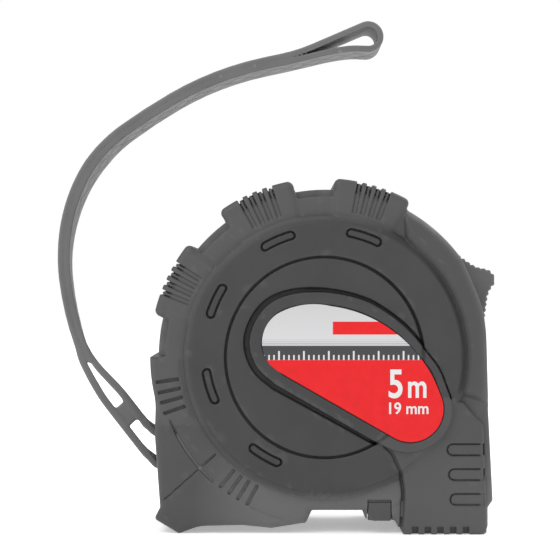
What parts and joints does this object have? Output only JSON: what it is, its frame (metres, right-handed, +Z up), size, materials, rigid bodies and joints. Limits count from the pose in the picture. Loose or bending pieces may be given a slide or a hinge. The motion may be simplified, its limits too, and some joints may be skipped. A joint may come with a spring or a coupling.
{
  "type": "tape measure",
  "caption": "Pocket tape measure: rubber-covered round-topped case, raised dial and label, thumb lock, belt clip, hooked steel blade and moulded wrist strap.",
  "frame": {"origin": "centre of the front foot's flat underside, on the plane that the case stands on and on the parting plane of its halves", "axes": "+X the way the blade leaves the mouth, +Z up from the foot to the strap's fold, -Y out of the label face; +Y through the thickness"},
  "size_m": [0.0904, 0.0402, 0.1047],
  "materials": {
    "shell": "fine texture",
    "rubber": "matte",
    "label": "printed film",
    "screw_steel": "black oxide",
    "pin_steel": "ground",
    "nylon": "moulded",
    "drum": "moulded",
    "disc": "thin sheet",
    "blade_paint": "lacquered",
    "spring_steel": "blued",
    "zinc": "plated",
    "bumper": "soft",
    "lock_rubber": "matte",
    "button": "matte",
    "clip_steel": "satin nickel",
    "strap_rubber": "matte"
  },
  "bodies": {
    "case": {"front_shell": "shell", "rear_shell": "shell", "front_cover": "rubber", "rear_cover": "rubber", "front_label": "label", "case_screws": "screw_steel", "strap_pin": "pin_steel", "spindle": "nylon", "spool_spacers": "nylon", "mouth_bumper": "bumper", "blade_guide": "nylon", "belt_clip": "clip_steel", "clip_screw": "screw_steel", "brake_spring": "spring_steel"},
    "spool": {"spool_drum": "drum", "spool_lid": "drum", "side_discs": "disc", "blade_coil": "blade_paint", "mainspring": "spring_steel"},
    "blade": {"blade": "blade_paint", "hook_rivets": "zinc"},
    "hook": {"end_hook": "zinc"},
    "lock": {"thumb_lock": "lock_rubber", "lock_pad": "bumper"},
    "brake": {"brake_button": "button"},
    "strap": {"wrist_strap": "strap_rubber"}
  },
  "joints": [
    {"name": "blade_pull", "type": "slide", "parent": "case", "child": "blade", "axis": [1, 0, 0], "range_m": [0, 0.045], "stiffness_N_per_m": 20, "springref_m": -0.2},
    {"name": "spool_spin", "type": "hinge", "parent": "case", "child": "spool", "pos_m": [-0.0231, 0, 0.0357], "axis": [0, 1, 0], "range_deg": [-100, 0.5]},
    {"name": "hook_float", "type": "slide", "parent": "blade", "child": "hook", "axis": [1, 0, 0], "range_m": [0, 0.001]},
    {"name": "lock_slide", "type": "hinge", "parent": "case", "child": "lock", "pos_m": [-0.0231, 0, 0.0357], "axis": [0, 1, 0], "range_deg": [0, 7]},
    {"name": "brake_press", "type": "slide", "parent": "case", "child": "brake", "axis": [0, 0, 1], "range_m": [0, 0.0005], "stiffness_N_per_m": 800, "springref_m": -0.0004, "deforming": ["brake_spring"]},
    {"name": "strap_swing", "type": "hinge", "parent": "case", "child": "strap", "pos_m": [-0.0525, 0, 0.0167], "axis": [0, 1, 0], "range_deg": [-10, 10]}
  ],
  "couplings": [
    {"joint": "spool_spin", "follows": "blade_pull", "rad_per_m": -38.462}
  ]
}
